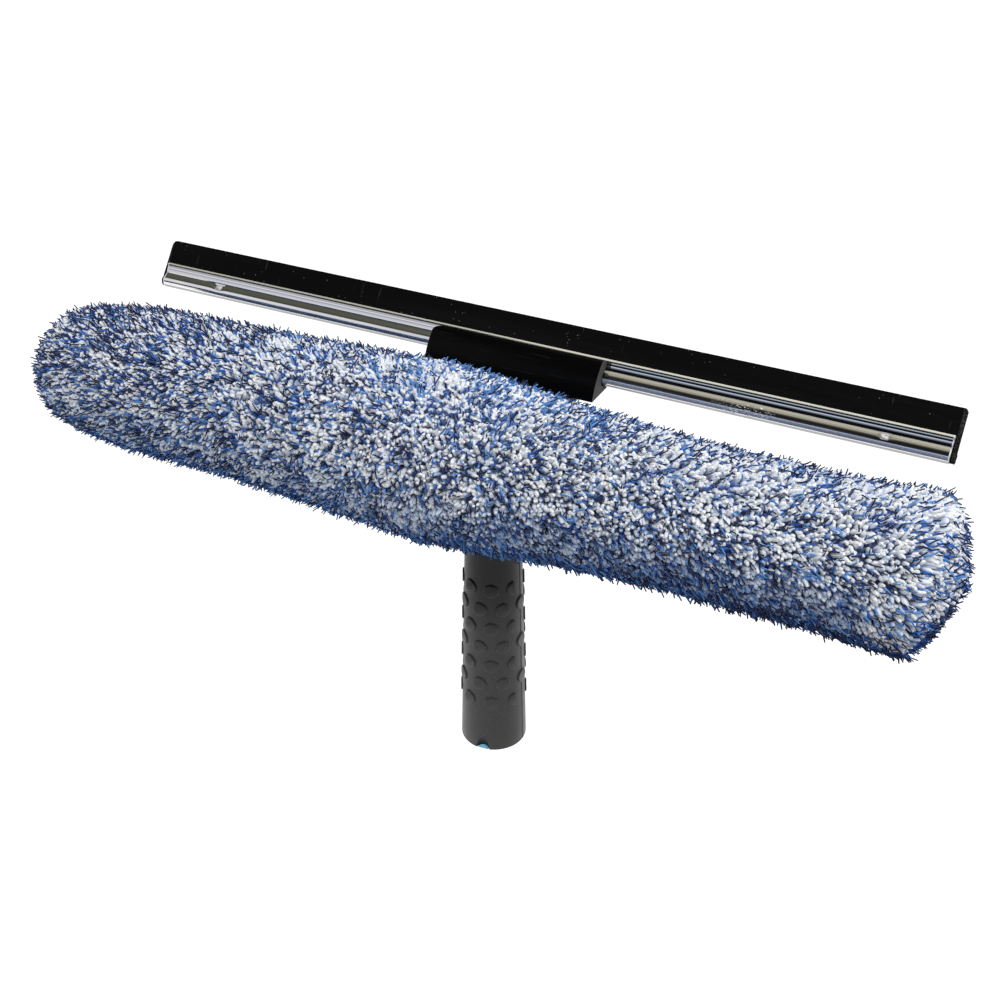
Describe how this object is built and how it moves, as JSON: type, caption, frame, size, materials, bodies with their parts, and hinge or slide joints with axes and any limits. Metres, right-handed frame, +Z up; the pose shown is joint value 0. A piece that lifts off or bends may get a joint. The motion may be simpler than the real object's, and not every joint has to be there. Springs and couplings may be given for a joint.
{
  "type": "window squeegee with washer sleeve",
  "caption": "Two-in-one window tool: a rubber squeegee in a metal channel and a fluffy washer sleeve on a T-bar, both on one upright grip handle with a pole socket.",
  "frame": {"origin": "centre of the handle's foot, on the axis of the pole socket", "axes": "+X along the blade, +Y to the back, which is the squeegee's side, +Z up the handle"},
  "size_m": [0.499, 0.139, 0.2572],
  "materials": {
    "grip_elastomer": "fine matt texture",
    "head_plastic": "matt moulded",
    "insert_plastic": "satin moulded",
    "clip_plastic": "gloss",
    "channel_steel": "polished, lightly scuffed",
    "pin_steel": "bright zinc",
    "blade_rubber": "smooth matt",
    "bar_plastic": "matt moulded",
    "microfibre_pile": "long soft pile of white, blue and navy yarn",
    "closure_webbing": "woven tape",
    "hook_tape": "hook tape"
  },
  "bodies": {
    "handle": {"grip": "grip_elastomer", "handle_core": "head_plastic", "pole_insert": "insert_plastic", "head": "head_plastic", "neck_pin": "pin_steel", "clip_body": "clip_plastic", "clip_screw_left": "pin_steel", "clip_screw_right": "pin_steel", "lever_pin": "pin_steel", "pin_ring": "pin_steel", "lever_spring": "pin_steel", "t_bar": "bar_plastic", "bar_cap_left": "bar_plastic", "bar_cap_right": "bar_plastic", "bar_screw_left": "pin_steel", "bar_screw_right": "pin_steel", "washer_sleeve": "microfibre_pile", "hook_patch_left": "hook_tape", "hook_patch_right": "hook_tape", "closure_tab_left": "closure_webbing", "closure_tab_right": "closure_webbing"},
    "release_lever": {"release_lever": "clip_plastic", "jaw_pad": "blade_rubber"},
    "blade": {"channel": "channel_steel", "rubber_blade": "blade_rubber"}
  },
  "joints": [
    {"name": "lever_hinge", "type": "hinge", "parent": "handle", "child": "release_lever", "pos_m": [0, 0.033, 0.2185], "axis": [-1, 0, 0], "range_deg": [0, 16], "stiffness_Nm_per_rad": 0.9, "springref_deg": -20.05, "deforming": ["lever_spring"]},
    {"name": "channel_slide", "type": "slide", "parent": "handle", "child": "blade", "axis": [1, 0, 0], "range_m": [-0.174, 0.174]}
  ]
}
